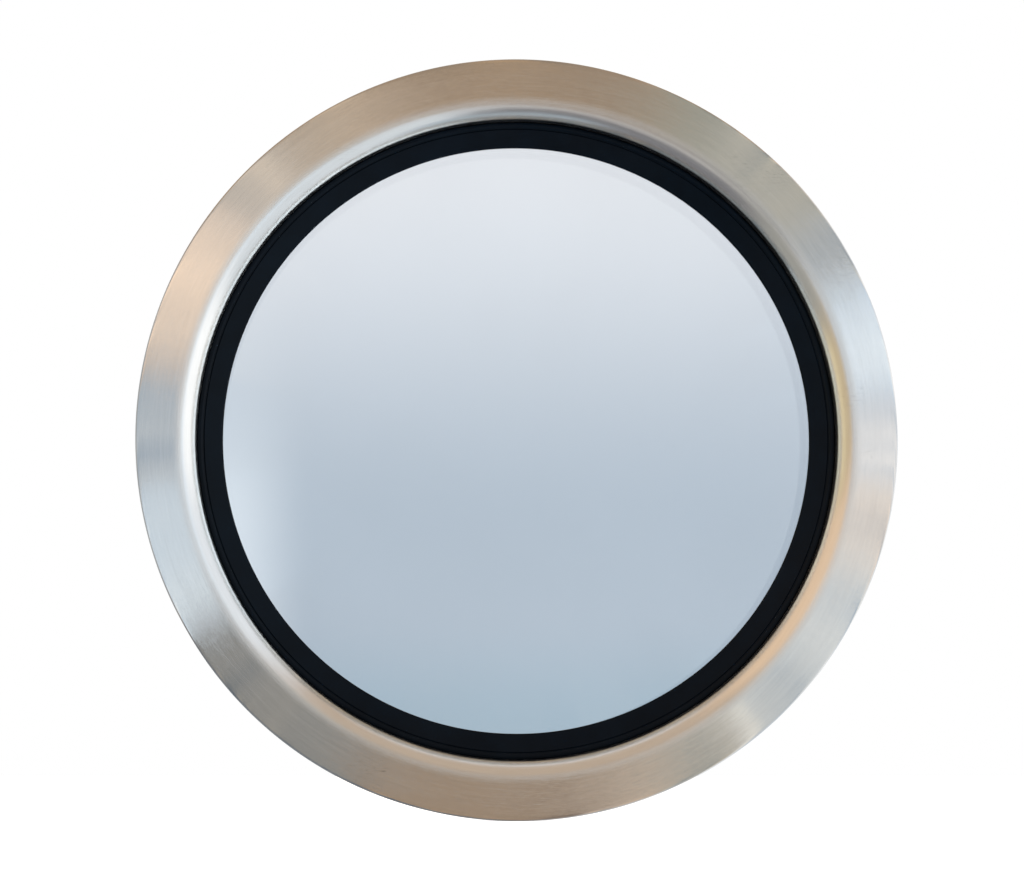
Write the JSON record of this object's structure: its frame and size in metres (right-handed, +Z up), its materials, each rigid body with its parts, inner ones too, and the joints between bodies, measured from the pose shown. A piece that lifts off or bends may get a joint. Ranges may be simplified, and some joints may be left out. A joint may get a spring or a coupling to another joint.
{
  "type": "porthole window",
  "caption": "Round porthole window with a spun satin steel frame, black rubber gasket and sealed double glazing, clamped through a door leaf by a matching rear frame.",
  "frame": {"origin": "centre of the window on the door leaf's front face, where the front foam seal seats", "axes": "+Y along the window's axis from its front to its rear, +Z up, +X to the right seen from the front"},
  "size_m": [0.35, 0.0555, 0.35],
  "materials": {
    "satin_steel": "satin, brushed round the ring",
    "liner_steel": "rolled strip, fine grain round the ring",
    "plated_steel": "turned, bright zinc plated",
    "screw_steel": "polished stainless",
    "gasket_rubber": "satin, moulded",
    "foam_rubber": "matte closed-cell foam",
    "clear_glass": "clear float glass, ground edge",
    "spacer_aluminium": "mill finish, perforated",
    "key_plastic": "moulded",
    "drying_beads": "loose beads",
    "butyl": "matte, tacky",
    "sealant": "matte, tooled flush",
    "block_plastic": "moulded"
  },
  "bodies": {
    "root": {"front_frame": "satin_steel", "weld_sleeves": "plated_steel", "front_foam_seal": "foam_rubber", "front_gasket": "gasket_rubber", "outer_pane": "clear_glass", "front_butyl_bead": "butyl", "spacer_bar": "spacer_aluminium", "spacer_key": "key_plastic", "desiccant": "drying_beads", "rear_butyl_bead": "butyl", "edge_sealant": "sealant", "inner_pane": "clear_glass", "setting_blocks": "block_plastic", "locating_blocks": "block_plastic", "liner_sleeve": "liner_steel", "rear_gasket": "gasket_rubber", "rear_foam_seal": "foam_rubber", "rear_frame": "satin_steel", "clamp_screws": "screw_steel"}
  },
  "joints": []
}
